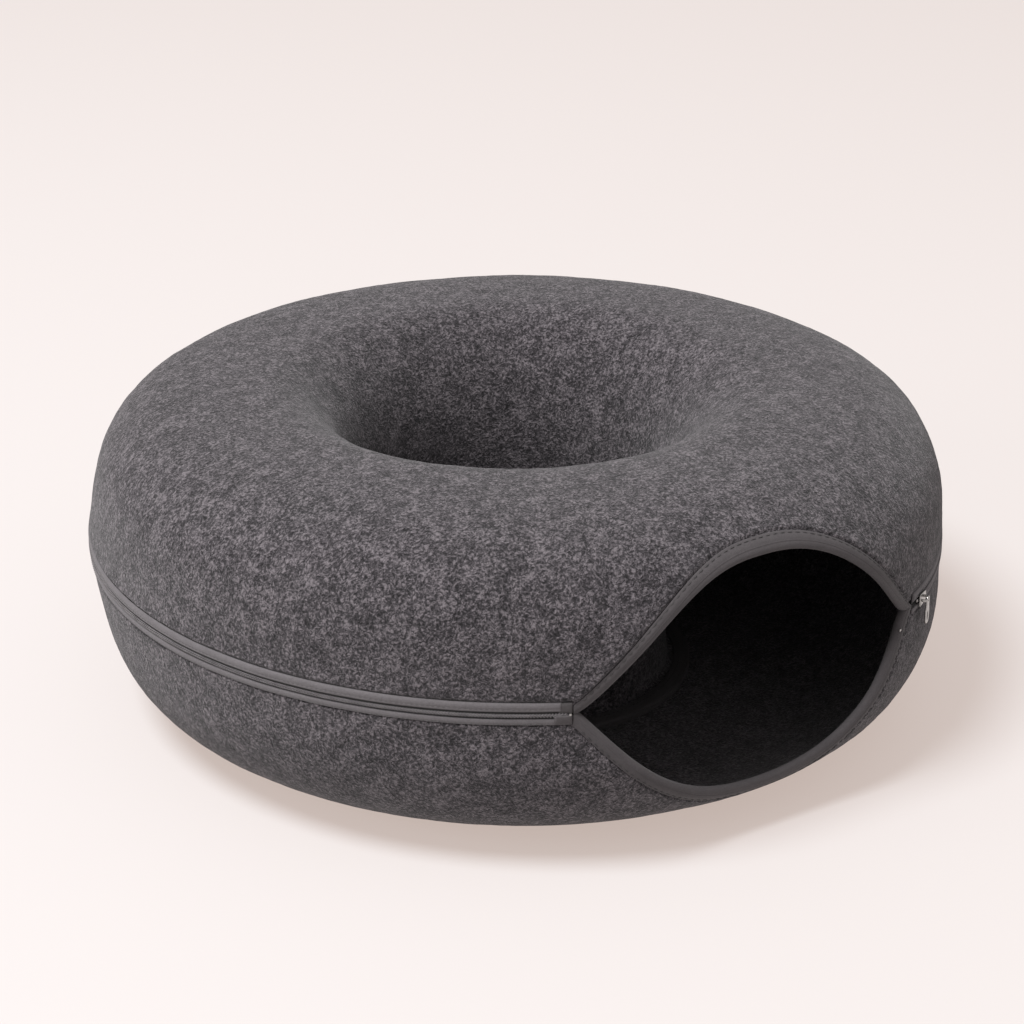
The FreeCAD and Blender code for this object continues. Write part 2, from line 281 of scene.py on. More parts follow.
def skin(name, grid, closed=(False, True), measure=None):
    """A closed mesh through a grid of points, whose open ends get a face each.

    measure is a grid of distances along and round the piece, one row and column longer
    where the grid is closed, for a material that follows its threads.
    """
    rows, columns = grid.shape[:2]
    quads, corners = grid_faces(rows, columns, closed)
    faces = quads.tolist()
    if not closed[0]:
        faces.append(list(range(columns)))
        faces.append([(rows - 1) * columns + n for n in reversed(range(columns))])
    mesh = bpy.data.meshes.new(name)
    mesh.from_pydata(grid.reshape(-1, 3).tolist(), [], faces)
    if measure is not None:
        chart = mesh.uv_layers.new(name="measure")
        values = np.zeros((len(mesh.loops), 2), np.float32)
        values[:4 * len(quads)] = np.stack([measure[a, b] for a, b in corners], -2).reshape(-1, 2)
        chart.data.foreach_set("uv", values.ravel())
    mesh.shade_smooth()
    return new_object(name, mesh)


def tubes(name, paths, normals, radius, sides=6):
    """Many short round rods in one mesh, along rows of points, with pointed ends."""
    count, steps = paths.shape[:2]
    forward = np.gradient(paths, axis=1)
    forward /= np.linalg.norm(forward, axis=-1, keepdims=True)
    sideways = np.cross(forward, normals)
    sideways /= np.linalg.norm(sideways, axis=-1, keepdims=True)
    upward = np.cross(sideways, forward)
    turn = 2 * math.pi * np.arange(sides) / sides
    size = radius * np.sqrt(np.maximum(1 - np.linspace(-0.97, 0.97, steps) ** 4, 0))
    size = size[None, :, None, None]
    ring = np.cos(turn)[:, None] * sideways[:, :, None] + np.sin(turn)[:, None] * upward[:, :, None]
    points = paths[:, :, None] + size * ring
    quads, _ = grid_faces(steps, sides, (False, True))
    ends = np.array([range(sides), [(steps - 1) * sides + n for n in reversed(range(sides))]])
    faces = []
    for start in range(0, count * steps * sides, steps * sides):
        faces += (quads + start).tolist() + (ends + start).tolist()
    mesh = bpy.data.meshes.new(name)
    mesh.from_pydata(points.reshape(-1, 3).tolist(), [], faces)
    mesh.shade_smooth()
    return new_object(name, mesh)


def dress(piece, material, body, nodes):
    """Gives a piece its material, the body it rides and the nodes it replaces."""
    piece.data.materials.clear()
    piece.data.materials.append(material)
    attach(piece, body)
    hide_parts(*nodes)
    return piece


# ---------------------------------------------------------------- materials

class Graph:
    """A material's node tree, with short calls for the nodes used here."""

    def __init__(self, name):
        self.material = bpy.data.materials.new(name)
        self.material.use_nodes = True
        self.tree = self.material.node_tree
        self.shader = self.tree.nodes["Principled BSDF"]

    def node(self, kind, inputs=None, **settings):
        node = self.tree.nodes.new(kind)
        for key, value in settings.items():
            setattr(node, key, value)
        for key, value in (inputs or {}).items():
            self.set(node, key, value)
        return node

    def set(self, node, key, value):
        if isinstance(value, bpy.types.NodeSocket):
            self.tree.links.new(value, node.inputs[key])
        else:
            node.inputs[key].default_value = value

    def spot(self):
        """Where on the object the light falls, in metres."""
        return self.node("ShaderNodeTexCoord").outputs["Object"]

    def math(self, operation, *values):
        node = self.node("ShaderNodeMath", operation=operation)
        for index, value in enumerate(values):
            self.set(node, index, value)
        return node.outputs[0]

    def vector(self, operation, *values):
        node = self.node("ShaderNodeVectorMath", operation=operation)
        for index, value in enumerate(values):
            self.set(node, index, value)
        return node.outputs[0]

    def noise(self, vector, scale, detail=2.0, roughness=0.5, output="Fac"):
        values = {"Vector": vector, "Scale": scale, "Detail": detail, "Roughness": roughness}
        return self.node("ShaderNodeTexNoise", values).outputs[output]

    def warp(self, vector, scale, amount):
        """The vector pushed about by noise."""
        push = self.noise(vector, scale, 1.0, output="Color")
        return self.vector("MULTIPLY_ADD", push, (amount,) * 3, vector)

    def strands(self, vector, scale, thinness):
        """Curly lines, 1 along each line and 0 between them."""
        value = self.noise(vector, scale, 1.0)
        away = self.math("ABSOLUTE", self.math("SUBTRACT", value, 0.5))
        near = self.math("MULTIPLY_ADD", away, -thinness, 1.0)
        return self.math("MAXIMUM", near, 0.0)

    def ramp(self, factor, stops):
        """A colour from (place, colour) stops."""
        node = self.node("ShaderNodeValToRGB", {"Fac": factor})
        elements = node.color_ramp.elements
        while len(elements) < len(stops):
            elements.new(0.5)
        for element, (position, colour) in zip(elements, stops):
            element.position = position
            element.color = (*colour, 1)
        return node.outputs["Color"]

    def bump(self, height, distance, strength=1.0):
        inputs = {"Height": height, "Distance": distance, "Strength": strength}
        return self.node("ShaderNodeBump", inputs).outputs[0]

    def finish(self, **inputs):
        for key, value in inputs.items():
            self.set(self.shader, key.replace("_", " "), value)
        return self.material


def felt_material():
    """Grey melange wool felt: curly light and dark fibres matted together."""
    graph = Graph("felt")
    spot = graph.spot()
    matted = graph.warp(spot, 160.0, 0.0035)
    pale = graph.strands(matted, 330.0, 9.0)
    finer = graph.strands(graph.warp(spot, 420.0, 0.002), 620.0, 7.0)
    dark = graph.strands(graph.vector("ADD", matted, (0.31, 0.17, 0.23)), 300.0, 8.0)
    clumps = graph.noise(matted, 470.0, 3.0, 0.7)
    mottle = graph.noise(spot, 95.0, 2.0, 0.6)
    tone = graph.math("MULTIPLY_ADD", clumps, 1.0, -0.10)
    tone = graph.math("MULTIPLY_ADD", mottle, 0.42, tone)
    tone = graph.math("MULTIPLY_ADD", pale, 0.12, tone)
    tone = graph.math("MULTIPLY_ADD", finer, 0.12, tone)
    tone = graph.math("MULTIPLY_ADD", dark, -0.14, tone)
    stops = [
        (0.40, (0.0062, 0.0055, 0.0063)),
        (0.57, (0.0215, 0.0191, 0.0213)),
        (0.68, (0.0455, 0.0405, 0.0445)),
        (0.88, (0.1180, 0.1050, 0.1130)),
    ]
    height = graph.math("MULTIPLY_ADD", pale, 0.25, tone)
    return graph.finish(
        Base_Color=graph.ramp(tone, stops), Roughness=0.95, Specular_IOR_Level=0.2,
        Normal=graph.bump(height, 0.0014, 0.65), Sheen_Weight=0.12, Sheen_Roughness=0.5,
    )


def woven_material(name, dark, light, pitch=0.5 * MM, patchy=0.3):
    """Fine woven tape: warp and weft threads measured along and across the tape."""
    graph = Graph(name)
    chart = graph.node("ShaderNodeUVMap", uv_map="measure").outputs[0]
    turns = 2 * math.pi / pitch
    weave = graph.vector("MULTIPLY", chart, (turns, turns, 0.0))
    parts = graph.node("ShaderNodeSeparateXYZ", {0: weave}).outputs
    warp = graph.math("SINE", parts[0])
    weft = graph.math("SINE", parts[1])
    threads = graph.math("MULTIPLY_ADD", graph.math("MULTIPLY", warp, weft), 0.5, 0.5)
    spot = graph.spot()
    mottle = graph.noise(spot, 700.0, 3.0, 0.6)
    patches = graph.noise(spot, 70.0, 3.0, 0.55)
    tone = graph.math("MULTIPLY_ADD", threads, 0.2, graph.math("MULTIPLY", mottle, 0.5))
    tone = graph.math("MULTIPLY_ADD", patches, patchy, tone)
    return graph.finish(
        Base_Color=graph.ramp(tone, [(0.25, dark), (0.75, light)]), Roughness=0.75,
        Normal=graph.bump(threads, 0.0002, 0.5), Specular_IOR_Level=0.25,
        Sheen_Weight=0.08, Sheen_Roughness=0.5,
    )


def plain_material(name, dark, light, scale, roughness, relief, **inputs):
    """A finish of one colour with faint variation and relief."""
    graph = Graph(name)
    patches = graph.noise(graph.spot(), scale, 3.0, 0.6)
    return graph.finish(
        Base_Color=graph.ramp(patches, [(0.3, dark), (0.7, light)]), Roughness=roughness,
        Normal=graph.bump(patches, relief, 0.5), **inputs,
    )


def build_materials():
    return {
        "felt": felt_material(),
        "binding": woven_material("binding_tape", (0.036, 0.0320, 0.0338), (0.066, 0.0590, 0.0618)),
        "strip": woven_material("zip_strip", (0.066, 0.0605, 0.0640), (0.118, 0.1085, 0.1140)),
        # The tab's cloth copies the binding's, a little darker: the tab is real cloth, and the extra
        # darkening is painted shade.
        "tab": woven_material("tab_tape", (0.033, 0.0296, 0.0305), (0.060, 0.0540, 0.0555)),
        # The zip tape is real, but its near-black colour is painted shade: it stands for the shade in
        # the gaps beside the coil and under the slider.
        "tape": woven_material("zip_tape", (0.010, 0.0095, 0.0098), (0.022, 0.0208, 0.0212)),
        "coil": plain_material(
            "nylon_coil", (0.110, 0.102, 0.106), (0.180, 0.168, 0.174), 200.0, 0.45, 0.00005),
        "thread": plain_material(
            "thread", (0.016, 0.015, 0.0155), (0.030, 0.0285, 0.029), 1500.0, 0.75, 0.0001),
        "pale_thread": plain_material(
            "pale_thread", (0.038, 0.036, 0.037), (0.065, 0.062, 0.063), 1500.0, 0.75, 0.0001),
        "metal": plain_material(
            "nickel", (0.30, 0.29, 0.28), (0.42, 0.41, 0.40), 900.0, 0.22, 0.00003,
            Metallic=1.0),
    }


# ---------------------------------------------------------------- felt

def ring_azimuths():
    """Azimuths round the ring, closer together across the mouth."""
    fine = np.arange(-FINE_AZIMUTH, FINE_AZIMUTH, FINE_TURN)
    rest = np.arange(FINE_AZIMUTH, 360 - FINE_AZIMUTH, COARSE_TURN)
    return np.concatenate([fine, np.where(rest > 180, rest - 360, rest)])


AZIMUTHS = ring_azimuths()


def curve_rows(curve, start=0.0, grading=1.0):
    """Section points from each column's start to the curve's end, closer near the start."""
    share = np.linspace(0, 1, int(curve.length / ROW)) ** grading
    start = np.broadcast_to(start, AZIMUTHS.shape)[:, None]
    return curve.at_length(start + (curve.length - start) * share)


def straight_rows(first, last, normal, count):
    """Section points of a straight run, without its first point."""
    share = np.linspace(0, 1, count + 1)[1:] + 0 * AZIMUTHS[:, None]
    radius = first[0] + (last[0] - first[0]) * share
    height = first[1] + (last[1] - first[1]) * share
    return radius, height, normal[0] + 0 * share, normal[1] + 0 * share


def join_rows(*parts):
    return [np.concatenate([part[n] for part in parts], 1) for n in range(4)]


def felt_start(side):
    """Where each column of felt starts: at the zip, or at the mouth's edge."""
    rise = np.maximum(lip_rise_at(side, AZIMUTHS, BINDING), FELT_GAP)
    return OUTSIDE[side].length_at_height(rise)


def felt_relief(side, points, outside, floor_fade):
    """How far lumps and seams lift the felt's face.

    It puffs up beside the binding and the zip, where the stitching holds it down.
    """
    from_zip = np.abs(points[..., 2] - ZIP) - STRIP_OUTER[side]
    from_seam = np.minimum(mouth_distance(side, points) - BINDING_WIDTH, from_zip)
    from_seam = np.where(outside, from_seam, 60 * MM)
    ragged = from_seam + 0.35 * MM * soft_noise(points, 3.5 * MM, 8)
    puff = PUFF[side] * smooth(ragged / (1.6 * MM)) * np.exp(-np.maximum(ragged, 0) / (16 * MM))
    lumps = 0.6 * MM * soft_noise(points, 60 * MM, 1)
    lumps += 0.25 * MM * soft_noise(points, 14 * MM, 2)
    lumps += 0.16 * MM * soft_noise(points, 4.5 * MM, 3)
    return (puff + lumps * smooth(ragged / (8 * MM))) * floor_fade


def felt_grid(side, rows, outside_count, floor_fade):
    """Closed loops of points up the outer face of the felt and back down its inner face."""
    radius, height, out, up = rows
    turn = AZIMUTHS[:, None] + 0 * radius
    outer = place(turn, radius, height)
    normal = place(turn, out, up)
    outside = np.arange(radius.shape[1]) < outside_count
    rise = np.where(outside, np.abs(height - ZIP), HEIGHT)
    bulge = swell(side, turn, rise, height)[..., None] * normal
    relief = felt_relief(side, outer, outside, smooth(floor_fade))[..., None] * normal
    inner = place(turn, radius - FELT * out, height - FELT * up) + bulge
    return np.concatenate([outer + bulge + relief, inner[:, ::-1]], 1)


def upper_felt(materials):
    outside = curve_rows(SHOULDER, felt_start(1), 1.35)
    well = [values[:, -2::-1] for values in curve_rows(WELL_SIDE)]
    wall = straight_rows((WELL, WELL_WAIST), (WELL, FELT + WELL_BEND), (-1, 0), 50)
    bend = [values[:, 1:] for values in curve_rows(FOOT_BEND)]
    foot = straight_rows((WELL + WELL_BEND, FELT), (WELL + FOOT_WIDTH, FELT), (0, -1), 5)
    rows = join_rows(outside, well, wall, bend, foot)
    grid = felt_grid(1, rows, outside[0].shape[1], (rows[1] - 18 * MM) / (50 * MM))
    piece = skin("upper_felt", grid[::-1], (True, True))
    dress(piece, materials["felt"], "bed", ["upper_felt_shell"])


def lower_felt(materials):
    outside = curve_rows(BELLY, felt_start(-1), 1.35)
    base = straight_rows((BASE, 0), (0.4 * MM, 0), (0, -1), 50)
    rows = join_rows(outside, base)
    grid = felt_grid(-1, rows, outside[0].shape[1], rows[1] / (36 * MM))
    piece = skin("lower_felt", grid, (True, True))
    dress(piece, materials["felt"], "bed", ["lower_felt_shell"])


def seam_ring(name, section, material, nodes):
    """A ring round the well's floor with that section of (radius, height) in millimetres."""
    radius, height = np.array(section).T * MM
    azimuth = np.arange(0, 360, 1.5)[:, None]
    points = place(azimuth + 0 * radius, radius + 0 * azimuth, height + 0 * azimuth)
    around = np.radians(np.arange(0, 361.5, 1.5)) * radius.mean()
    loop = lengths(np.array([*section, section[0]]) * MM)
    measure = np.stack(np.meshgrid(around, loop, indexing="ij"), -1)
    piece = skin(name, points, (True, True), measure)
    dress(piece, material, "bed", nodes)


def well_seam(materials):
    """Tape over the well's foot where it is sewn to the floor, and its stitches."""
    section = [(116, 9), (116.2, 9.7), (117, 10), (127, 10), (127.8, 9.7), (128, 9), (128, 4.5)]
    section += [(127.1, 4.5), (127.1, 9)]
    seam_ring("well_seam_tape", section[::-1], materials["binding"], ["well_seam_binding"])
    count = 200
    azimuth = np.linspace(0, 360, count, endpoint=False)[:, None] + np.linspace(-0.6, 0.6, 5)
    lift = 10.0 + 0.3 * np.array([-1.5, 0.6, 0.9, 0.6, -1.5])
    paths = place(azimuth, 120.3 * MM + 0 * azimuth, lift * MM + 0 * azimuth)
    normals = np.broadcast_to([0.0, 0.0, 1.0], paths.shape)
    piece = tubes("well_stitches", paths, normals, THREAD)
    dress(piece, materials["thread"], "bed", ["well_seam_stitching"])


# ---------------------------------------------------------------- mouth binding

def binding_section():
    """(distance from the lip's edge, lift off the felt's face) round the folded tape.

    Its corners are in millimetres.  The fold is a little thinner than the felt and tape.
    """
    half = (FELT + 2 * BINDING) / 2 / MM - 0.3
    middle = -FELT / 2 / MM
    low = -(FELT + BINDING) / MM
    inside = -FELT / MM
    outer_leg = [(8, 0.02), (8, 0.6), (7.8, 0.95), (7.3, 1.1), (6.8, 1.0), (6.4, 1.12)]
    outer_leg += [(5.6, 1.3), (4.6, 1.32), (3.9, 1.1), (3.6, 1.02), (3.3, 1.18)]
    fold = np.radians(np.linspace(90, 270, 17))
    outer_fold = [(half + half * math.cos(a), middle + half * math.sin(a)) for a in fold]
    inner_leg = [(4.5, low), (5.5, low), (6.5, low), (7.4, low + 0.4), (7.4, inside)]
    pocket = [(6.0, inside), (1.7, inside), (1.2, inside + 0.5), (1.2, -0.5), (1.7, 0), (6.0, 0.02)]
    return np.array(outer_leg + outer_fold + inner_leg + pocket) * MM


def lip_across(share, offset):
    """Places along a lip from its left end, -1, to its right end, 1, seen from the front."""
    half_width = MOUTH_HALF_WIDTH + CORNER_SPREAD * offset
    left = np.minimum(half_width, OUTER * math.sin(math.radians(BINDING_LEFT)))
    right = np.minimum(half_width, OUTER * math.sin(math.radians(BINDING_RIGHT)))
    return np.sin(share * math.pi / 2) * np.where(share < 0, left, right)


def mouth_binding(side, materials):
    section = binding_section()
    offset, lift = section.T
    across = lip_across(np.linspace(-1, 1, LIP_COLUMNS)[:, None], offset)
    rise = np.maximum(lip_rise(side, across, offset), 0.1 * MM)
    points, normals = on_outside(side, across, rise, lift)
    ripple = 0.1 * MM * soft_noise(points, 8 * MM, 4) + 0.22 * MM * soft_noise(points, 28 * MM, 5)
    ripple *= np.where(lift > 0.5 * MM, 1.0, 0.25) * (np.abs(lift) > 0.4 * MM)
    points = points + normals * ripple[..., None]
    along = lengths(points[:, 0])
    loop = lengths(np.concatenate([section, section[:1]]))
    measure = np.stack(np.meshgrid(along, loop, indexing="ij"), -1)
    piece = skin(SIDES[side] + "_mouth_tape", points[::-side], (False, True), measure)
    dress(piece, materials["binding"], "bed", [SIDES[side] + "_mouth_binding"])


def mouth_stitches(side, materials):
    """Stitches along the binding's outer edge, each dipping into the tape at its ends."""
    offset = BINDING_WIDTH - SEAM_INSET
    across = lip_across(np.linspace(-0.95, 0.95, 4000), offset)
    line, _ = on_outside(side, across, lip_rise(side, across, offset), BINDING)
    along = lengths(line)
    pitch = along[-1] / MOUTH_STITCHES
    spots = pitch * (np.arange(1, MOUTH_STITCHES - 1) + 0.5)[:, None]
    spots = spots + pitch * np.linspace(-0.36, 0.36, 6)
    across = np.interp(spots, along, across)
    lift = BINDING + np.array([-0.35, 0.02, 0.12, 0.12, 0.02, -0.35]) * MM
    paths, normals = on_outside(side, across, lip_rise(side, across, offset), lift)
    piece = tubes(SIDES[side] + "_mouth_stitches", paths, normals, THREAD)
    dress(piece, materials["thread"], "bed", [SIDES[side] + "_mouth_stitching"])


# ---------------------------------------------------------------- zip

def ribbon(name, side, section, start, end, base=TAPE, ease=1.2 * MM, ripple=0.0):
    """A band along the zip with that section of (rise, lift) points in millimetres.

    Its ends ease down to the base over a short way, as a folded or fused end does.
    """
    rise, lift = np.array(section if side > 0 else section[::-1]).T * MM
    length = math.radians(end - start) * OUTER
    count = max(int(length / (2.6 * MM)), 4)
    near_end = ease * np.array([0, 0.1, 0.3, 0.6])
    along = np.concatenate([near_end, np.linspace(ease, length / 2, count)])
    along = np.concatenate([along, length - along[-2::-1]])
    from_end = np.minimum(along, length - along) / ease
    fullness = np.sqrt(1 - (1 - np.clip(from_end, 0.03, 1)) ** 2)[:, None]
    azimuth = (start + np.degrees(along / OUTER))[:, None] + 0 * rise
    lift = base + (lift - base) * fullness
    points = on_zip(azimuth, side * rise + 0 * azimuth, lift)
    wave = ripple * soft_noise(points, 30 * MM, 6) * fullness
    points[..., 2] += wave
    flat = np.stack([rise, lift[len(lift) // 2]], -1)
    loop = lengths(np.concatenate([flat, flat[:1]]))
    measure = np.stack(np.meshgrid(along, loop, indexing="ij"), -1)
    return skin(name, points, (False, True), measure)


def zip_strip(side, materials):
    """Rounded folded strip beside the coil, creased where it is sewn."""
    upper = [(2.6, 0.62), (2.55, 1.2), (2.7, 1.75), (3.2, 2.0), (4.1, 2.05), (4.5, 1.9)]
    upper += [(4.9, 2.05), (6.0, 2.2), (7.2, 2.05), (8.2, 1.6), (8.7, 1.1), (8.8, 0.62)]
    lower = [(2.6, 0.62), (2.55, 1.1), (2.75, 1.5), (3.4, 1.72), (4.6, 1.8), (5.5, 1.7)]
    lower += [(5.9, 1.5), (6.3, 1.45), (6.8, 1.1), (6.9, 0.62)]
    end = 360 - (UPPER_TAB_END if side > 0 else LOWER_TAB_END) + 0.2
    section = upper if side > 0 else lower
    piece = ribbon(SIDES[side] + "_strip", side, section, TAPE_RIGHT, end, ripple=0.2 * MM)
    dress(piece, materials["strip"], "bed", [SIDES[side] + "_zip_strip"])


def zip_tape(side, materials):
    # The tape's near-black colour is painted shade of the gaps beside the coil, on top of the tape's
    # own dark tone.
    low, high, thickness = TAPE_INNER / MM, STRIP_OUTER[side] / MM - 0.2, TAPE / MM
    section = [(low, 0.02), (low, thickness), (high, thickness), (high, 0.02)]
    name = SIDES[side] + "_tape"
    end = 360 - TAPE_LEFT
    piece = ribbon(name, side, section, TAPE_RIGHT, end, base=0.02 * MM, ease=0.4 * MM)
    dress(piece, materials["tape"], "bed", [SIDES[side] + "_zip_tape"])


def zip_coil(side, materials):
    """A nylon spiral, a turn to each tooth, that locks between the other side's turns."""
    per_turn = 10
    span = 360 - COIL_RIGHT - COIL_LEFT
    turns = int(math.radians(span) * OUTER / TOOTH)
    step = np.arange(turns * per_turn + 1)
    phase = 2 * math.pi * step / per_turn + (0 if side > 0 else math.pi)
    azimuth = COIL_RIGHT + span * step / step[-1]
    middle = (COIL_REACH - COIL_LOCK) / 2
    half = (COIL_REACH + COIL_LOCK) / 2 - COIL_WIRE
    rise = side * (middle - half * np.cos(phase))
    lift = TAPE + COIL / 2 + (COIL / 2 - COIL_WIRE) * np.sin(phase)
    line = on_zip(azimuth, rise, lift)
    core = on_zip(azimuth, side * middle, TAPE + COIL / 2 + 0 * azimuth)
    forward = np.gradient(line, axis=0)
    forward /= np.linalg.norm(forward, axis=1, keepdims=True)
    outward = line - core
    outward -= forward * (outward * forward).sum(1, keepdims=True)
    outward /= np.linalg.norm(outward, axis=1, keepdims=True)
    sideways = np.cross(forward, outward)
    turn = (2 * math.pi * np.arange(6) / 6)[:, None]
    points = line[:, None] + COIL_WIRE * (
        np.cos(turn) * outward[:, None] + np.sin(turn) * sideways[:, None])
    piece = skin(SIDES[side] + "_coil", points)
    dress(piece, materials["coil"], "bed", [SIDES[side] + "_zip_coil"])


def zip_stitches(side, materials):
    rise = side * (4.5 if side > 0 else 6.1) * MM
    length = math.radians(360 - TAPE_RIGHT - LOWER_TAB_END) * OUTER
    count = int(length / ZIP_STITCH)
    spots = (np.arange(1, count - 1) + 0.5)[:, None] + np.linspace(-0.36, 0.36, 6)
    azimuth = TAPE_RIGHT + np.degrees(spots * ZIP_STITCH / OUTER)
    top = (1.9 if side > 0 else 1.5) * MM
    lift = top + np.array([-0.35, 0, 0.1, 0.1, 0, -0.35]) * MM
    paths = on_zip(azimuth, rise, lift + 0 * azimuth)
    normals = place(azimuth, np.ones_like(azimuth), 0)
    piece = tubes(SIDES[side] + "_zip_stitches", paths, normals, THREAD)
    dress(piece, materials["pale_thread"], "bed", [SIDES[side] + "_zip_stitching"])


def end_tabs(materials):
    """Cloth patches over the closed end of the zip, at the mouth's left corner."""
    upper = [(1.0, 0.62), (1.0, 1.3), (1.3, 1.6), (3, 1.7), (6, 1.7), (8.0, 1.5), (8.4, 0.62)]
    # The upper tab's slightly darker cloth is painted shade over the binding's own tone.
    piece = ribbon("upper_tab", 1, upper, 360 - UPPER_TAB_END - 0.1, 360 - TAPE_LEFT)
    dress(piece, materials["tab"], "bed", ["upper_zip_end_tab"])
    lower = [(0.2, 2.35), (0.4, 2.75), (1.2, 2.9), (3, 2.75), (5, 2.3), (6.6, 1.6), (7.2, 0.62)]
    lower = [(0.2, 0.62), *lower]
    piece = ribbon("lower_tab", -1, lower, 360 - LOWER_TAB_END, 360 - TAPE_LEFT, ease=2 * MM)
    dress(piece, materials["binding"], "bed", ["lower_zip_end_tab"])


# ---------------------------------------------------------------- metal

def plate(name, outlines, thickness, bevel):
    """A flat plate with bevelled edges in the XY plane; later outlines are holes."""
    curve = bpy.data.curves.new(name, "CURVE")
    curve.dimensions = "2D"
    curve.fill_mode = "BOTH"
    curve.extrude = thickness / 2 - bevel
    curve.bevel_depth = bevel
    curve.bevel_resolution = 2
    curve.offset = -bevel
    for outline in outlines:
        line = curve.splines.new("POLY")
        line.points.add(len(outline) - 1)
        line.use_cyclic_u = True
        for point, (x, y) in zip(line.points, outline):
            point.co = (x, y, 0, 1)
    shape = bpy.data.objects.new(name, curve)
    bpy.context.scene.collection.objects.link(shape)
    bpy.context.view_layer.update()
    solid = shape.evaluated_get(bpy.context.evaluated_depsgraph_get())
    mesh = bpy.data.meshes.new_from_object(solid)
    bpy.data.objects.remove(shape)
    mesh.name = name
    return mesh


def arc(centre, radius, first, last, count=12):
    """Points on a circle's arc, between angles in degrees."""
    angles = np.radians(np.linspace(first, last, count))
    return [(centre[0] + radius * math.cos(a), centre[1] + radius * math.sin(a)) for a in angles]


def bend_to_ring(mesh, azimuth, matrix=None):
    """Moves a mesh from (along the zip, off the felt, up) to its place on the ring."""
    points = np.array([vertex.co for vertex in mesh.vertices])
    if matrix is not None:
        points = points @ np.array(matrix).T
    along = azimuth + np.degrees(points[:, 0] / OUTER)
    points = on_zip(along, points[:, 2], points[:, 1])
    mesh.vertices.foreach_set("co", points.ravel().astype(np.float32))
    mesh.update()
    return mesh


# Turns a plate drawn flat, along the zip and up, so that its thickness points off the felt.
STANDING = ((1, 0, 0), (0, 0, 1), (0, 1, 0))


def slider_plate(name, wide, narrow, low):
    """A slider plate: wide where the two sides of the zip come in, rounded off behind."""
    half = SLIDER_LENGTH / 2
    corner = 1.6 * MM
    upper = arc((-half + corner, wide - corner), corner, 180, 90, 6)
    upper += arc((half - corner, narrow - corner), corner, 90, 0, 6)
    outline = upper + [(x, -y) for x, y in reversed(upper)]
    mesh = plate(name, [outline], PLATE, 0.35 * MM)
    for vertex in mesh.vertices:
        vertex.co.z += low + PLATE / 2
    return bend_to_ring(mesh, SLIDER, STANDING)


def block(name, size, centre, bevel):
    """A bevelled block at (along, lift, rise) from the slider's middle."""
    x, y = size[0] / 2, size[2] / 2
    outline = [(-x, -y), (x, -y), (x, y), (-x, y)]
    mesh = plate(name, [outline], size[1], bevel)
    for vertex in mesh.vertices:
        vertex.co += Vector((centre[0], centre[2], centre[1]))
    return mesh


def slider_arch():
    """The bowed loop on the front plate that the pull hangs from."""
    foot = FRONT_PLATE + PLATE / 2
    half = 3.9 * MM
    corner = 2.0 * MM
    line = [(-half, foot)] + arc((-half + corner, PIVOT - corner), corner, 180, 90)
    line += arc((half - corner, PIVOT - corner), corner, 90, 0) + [(half, foot)]
    line = np.array(line)
    heading = np.gradient(line, axis=0)
    heading /= np.linalg.norm(heading, axis=1, keepdims=True)
    side = np.stack([-heading[:, 1], heading[:, 0]], -1)
    turn = 2 * math.pi * np.arange(12) / 12
    spread = 0.7 * MM * np.sign(np.cos(turn)) * np.abs(np.cos(turn)) ** 0.7
    wide = 0.9 * MM * np.sign(np.sin(turn)) * np.abs(np.sin(turn)) ** 0.7
    flat = line[:, None] + spread[:, None] * side[:, None]
    azimuth = SLIDER + np.degrees(flat[..., 0] / OUTER)
    points = on_zip(azimuth, wide + 0 * azimuth, flat[..., 1])
    return skin("slider_arch", points)


def slider(materials):
    metal = materials["metal"]
    pieces = [slider_arch()]
    front = slider_plate("slider_front", 4.6 * MM, 3.7 * MM, FRONT_PLATE)
    back = slider_plate("slider_back", 3.9 * MM, 3.2 * MM, BACK_PLATE)
    pieces += [new_object("slider_front", front), new_object("slider_back", back)]
    height = FRONT_PLATE + PLATE / 2 - TAPE - 0.3 * MM
    centre = FRONT_PLATE + PLATE / 2 - height / 2
    length = SLIDER_LENGTH - 1.2 * MM
    for side, word in SIDES.items():
        size = (length, height, 0.45 * MM)
        mesh = block("flange", size, (0, centre, side * 2.25 * MM), 0.15 * MM)
        mesh = bend_to_ring(mesh, SLIDER, STANDING)
        pieces.append(new_object(word + "_flange", mesh))
    depth = FRONT_PLATE + PLATE / 2 - BACK_PLATE - PLATE / 2
    size = (2.4 * MM, depth, 0.4 * MM)
    centre = (-SLIDER_LENGTH / 2 + 1.4 * MM, BACK_PLATE + PLATE / 2 + depth / 2, 0)
    wedge = bend_to_ring(block("wedge", size, centre, 0.15 * MM), SLIDER, STANDING)
    pieces.append(new_object("slider_wedge", wedge))
    for piece in pieces:
        dress(piece, metal, "slider", ["slider_body"])
        shade_by_angle(piece)


def shade_by_angle(piece):
    """Smooth shading that keeps edges sharper than 35 degrees."""
    piece.data.shade_smooth()
    piece.data.set_sharp_from_angle(angle=math.radians(35))


